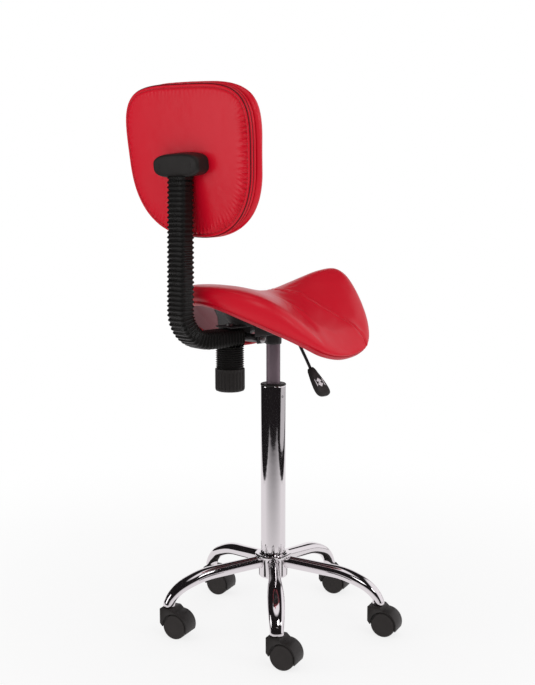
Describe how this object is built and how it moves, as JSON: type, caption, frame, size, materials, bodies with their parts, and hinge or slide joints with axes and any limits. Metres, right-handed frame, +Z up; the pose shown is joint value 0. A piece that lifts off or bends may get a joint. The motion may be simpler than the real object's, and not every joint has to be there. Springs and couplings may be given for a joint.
{
  "type": "rolling saddle stool",
  "caption": "Height-adjustable rolling stool with a padded saddle seat, a small sprung backrest on a bellows-covered bar, a chromed column and a five-arm base on twin-wheel casters.",
  "frame": {"origin": "middle of the whole stool's box in plan, on the floor under the wheels", "axes": "+Z up, -Y the way the sitter faces, +X the sitter's left"},
  "size_m": [0.4709, 0.495, 1.0695],
  "materials": {
    "chrome": "polished chrome plate",
    "bright_steel": "plain zinc-plated and ground steel",
    "black_steel": "satin black powder coat",
    "black_plastic": "moulded, satin",
    "black_rubber": "moulded, satin",
    "red_vinyl": "soft vinyl over foam, satin sheen",
    "plywood": "bare plywood",
    "black_cloth": "non-woven cloth, matt"
  },
  "bodies": {
    "base": {"base_hub": "chrome", "base_arm_1": "chrome", "base_arm_2": "chrome", "base_arm_3": "chrome", "base_arm_4": "chrome", "base_arm_5": "chrome", "column_tube": "chrome", "column_screw": "bright_steel", "column_bush": "black_plastic"},
    "lift_rod": {"piston_rod": "bright_steel", "thrust_bearing": "black_steel", "retaining_clip": "black_steel"},
    "seat": {"gas_cylinder": "bright_steel", "taper_socket": "black_steel", "seat_plate": "black_steel", "pivot_bolt": "bright_steel", "lever_pin": "bright_steel", "tension_bolt": "bright_steel", "seat_pan": "plywood", "seat_cushion": "red_vinyl", "seat_dust_cover": "black_cloth"},
    "height_lever": {"lever_rod": "bright_steel", "lever_paddle": "black_plastic"},
    "release_button": {"release_button": "black_plastic"},
    "back": {"j_bar": "black_steel", "j_bar_bellows": "black_rubber", "back_bracket": "black_steel", "bracket_cover": "black_plastic", "back_panel": "red_vinyl", "back_board": "plywood", "back_cushion": "red_vinyl", "tension_spring": "bright_steel", "knob_bellows": "black_rubber"},
    "spring_washer": {"spring_washer": "bright_steel"},
    "tension_knob": {"tension_knob": "black_plastic"},
    "caster_1": {"caster_stem_1": "bright_steel", "caster_hood_1": "black_plastic", "caster_axle_1": "bright_steel"},
    "wheel_1a": {"caster_wheel_1a": "black_plastic"},
    "wheel_1b": {"caster_wheel_1b": "black_plastic"},
    "caster_2": {"caster_stem_2": "bright_steel", "caster_hood_2": "black_plastic", "caster_axle_2": "bright_steel"},
    "wheel_2a": {"caster_wheel_2a": "black_plastic"},
    "wheel_2b": {"caster_wheel_2b": "black_plastic"},
    "caster_3": {"caster_stem_3": "bright_steel", "caster_hood_3": "black_plastic", "caster_axle_3": "bright_steel"},
    "wheel_3a": {"caster_wheel_3a": "black_plastic"},
    "wheel_3b": {"caster_wheel_3b": "black_plastic"},
    "caster_4": {"caster_stem_4": "bright_steel", "caster_hood_4": "black_plastic", "caster_axle_4": "bright_steel"},
    "wheel_4a": {"caster_wheel_4a": "black_plastic"},
    "wheel_4b": {"caster_wheel_4b": "black_plastic"},
    "caster_5": {"caster_stem_5": "bright_steel", "caster_hood_5": "black_plastic", "caster_axle_5": "bright_steel"},
    "wheel_5a": {"caster_wheel_5a": "black_plastic"},
    "wheel_5b": {"caster_wheel_5b": "black_plastic"}
  },
  "joints": [
    {"name": "seat_swivel", "type": "hinge", "parent": "base", "child": "lift_rod", "pos_m": [0.0009, -0.0017, 0.11], "axis": [0, 0, 1], "continuous": true},
    {"name": "gas_lift", "type": "slide", "parent": "lift_rod", "child": "seat", "axis": [0, 0, 1], "range_m": [-0.075, 0.065]},
    {"name": "height_lever_pull", "type": "hinge", "parent": "seat", "child": "height_lever", "pos_m": [-0.0231, -0.0017, 0.6113], "axis": [0, 1, 0], "range_deg": [0, 8], "stiffness_Nm_per_rad": 2, "springref_deg": -6.88},
    {"name": "release_button_press", "type": "slide", "parent": "seat", "child": "release_button", "axis": [0, 0, -1], "range_m": [0, 0.0037]},
    {"name": "back_tilt", "type": "hinge", "parent": "seat", "child": "back", "pos_m": [0.0009, 0.0513, 0.592], "axis": [-1, 0, 0], "range_deg": [0, 8], "stiffness_Nm_per_rad": 80, "springref_deg": -5.73, "deforming": ["tension_spring", "knob_bellows"]},
    {"name": "knob_travel", "type": "slide", "parent": "seat", "child": "spring_washer", "axis": [0, 0, 1], "range_m": [0, 0.003]},
    {"name": "knob_turn", "type": "hinge", "parent": "spring_washer", "child": "tension_knob", "pos_m": [0.0009, 0.1129, 0.52], "axis": [0, 0, 1], "range_deg": [0, 720]},
    {"name": "caster_swivel_1", "type": "hinge", "parent": "base", "child": "caster_1", "pos_m": [-0.16125, 0.14176, 0.07], "axis": [0, 0, 1], "continuous": true},
    {"name": "wheel_spin_1a", "type": "hinge", "parent": "caster_1", "child": "wheel_1a", "pos_m": [-0.17805, 0.13531, 0.025], "axis": [0.3584, -0.9336, 0], "continuous": true},
    {"name": "wheel_spin_1b", "type": "hinge", "parent": "caster_1", "child": "wheel_1b", "pos_m": [-0.17805, 0.13531, 0.025], "axis": [0.3584, -0.9336, 0], "continuous": true},
    {"name": "caster_swivel_2", "type": "hinge", "parent": "base", "child": "caster_2", "pos_m": [-0.18564, -0.11158, 0.07], "axis": [0, 0, 1], "continuous": true},
    {"name": "wheel_spin_2a", "type": "hinge", "parent": "caster_2", "child": "wheel_2a", "pos_m": [-0.20245, -0.11803, 0.025], "axis": [0.3584, -0.9336, 0], "continuous": true},
    {"name": "wheel_spin_2b", "type": "hinge", "parent": "caster_2", "child": "wheel_2b", "pos_m": [-0.20245, -0.11803, 0.025], "axis": [0.3584, -0.9336, 0], "continuous": true},
    {"name": "caster_swivel_3", "type": "hinge", "parent": "base", "child": "caster_3", "pos_m": [0.04776, -0.21307, 0.07], "axis": [0, 0, 1], "continuous": true},
    {"name": "wheel_spin_3a", "type": "hinge", "parent": "caster_3", "child": "wheel_3a", "pos_m": [0.03095, -0.21952, 0.025], "axis": [0.3584, -0.9336, 0], "continuous": true},
    {"name": "wheel_spin_3b", "type": "hinge", "parent": "caster_3", "child": "wheel_3b", "pos_m": [0.03095, -0.21952, 0.025], "axis": [0.3584, -0.9336, 0], "continuous": true},
    {"name": "caster_swivel_4", "type": "hinge", "parent": "base", "child": "caster_4", "pos_m": [0.2164, -0.02245, 0.07], "axis": [0, 0, 1], "continuous": true},
    {"name": "wheel_spin_4a", "type": "hinge", "parent": "caster_4", "child": "wheel_4a", "pos_m": [0.1996, -0.0289, 0.025], "axis": [0.3584, -0.9336, 0], "continuous": true},
    {"name": "wheel_spin_4b", "type": "hinge", "parent": "caster_4", "child": "wheel_4b", "pos_m": [0.1996, -0.0289, 0.025], "axis": [0.3584, -0.9336, 0], "continuous": true},
    {"name": "caster_swivel_5", "type": "hinge", "parent": "base", "child": "caster_5", "pos_m": [0.08723, 0.19684, 0.07], "axis": [0, 0, 1], "continuous": true},
    {"name": "wheel_spin_5a", "type": "hinge", "parent": "caster_5", "child": "wheel_5a", "pos_m": [0.07043, 0.19039, 0.025], "axis": [0.3584, -0.9336, 0], "continuous": true},
    {"name": "wheel_spin_5b", "type": "hinge", "parent": "caster_5", "child": "wheel_5b", "pos_m": [0.07043, 0.19039, 0.025], "axis": [0.3584, -0.9336, 0], "continuous": true}
  ],
  "couplings": [
    {"joint": "release_button_press", "follows": "height_lever_pull", "m_per_rad": 0.026},
    {"joint": "knob_turn", "follows": "knob_travel", "rad_per_m": 4188.8}
  ]
}
